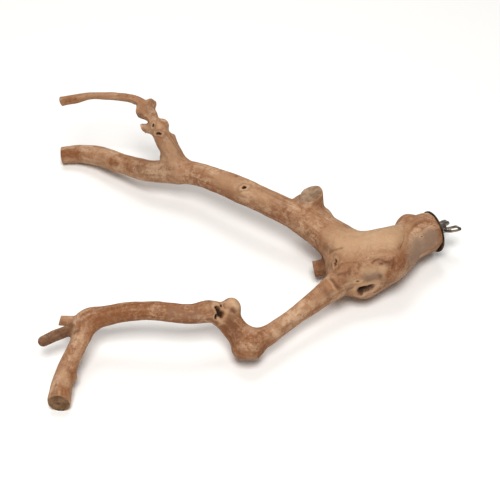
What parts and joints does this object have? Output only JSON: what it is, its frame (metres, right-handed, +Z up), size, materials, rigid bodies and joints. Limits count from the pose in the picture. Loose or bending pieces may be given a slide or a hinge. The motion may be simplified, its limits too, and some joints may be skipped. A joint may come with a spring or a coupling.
{
  "type": "forked wooden branch perch",
  "caption": "Sandblasted forked branch with a burl, stubs and a knobbly twig, and a hanger bolt, two washers and a wing nut at its sawn butt.",
  "frame": {"origin": "on the surface that the branch rests on, under the middle of its bounding box", "axes": "+X along the bolt, out of the sawn butt; +Z up as the branch rests; the limbs spread towards -X"},
  "size_m": [0.3916, 0.3255, 0.0929],
  "materials": {
    "wood": "sandblasted bare wood, tan with reddish stains and dark knots",
    "bolt_steel": "zinc plated",
    "nut_steel": "zinc plated, slightly dull"
  },
  "bodies": {
    "branch": {"burl": "wood", "upper_limb": "wood", "far_limb": "wood", "knobbly_twig": "wood", "lower_limb": "wood", "leg": "wood", "prong": "wood", "hanger_bolt": "bolt_steel", "fender_washer": "bolt_steel", "flat_washer": "bolt_steel"},
    "wing_nut": {"wing_nut": "nut_steel"}
  },
  "joints": [
    {"name": "wing_nut_turn", "type": "hinge", "parent": "branch", "child": "wing_nut", "pos_m": [0.1808, -0.1, 0.024], "axis": [1, 0, 0], "continuous": true}
  ]
}
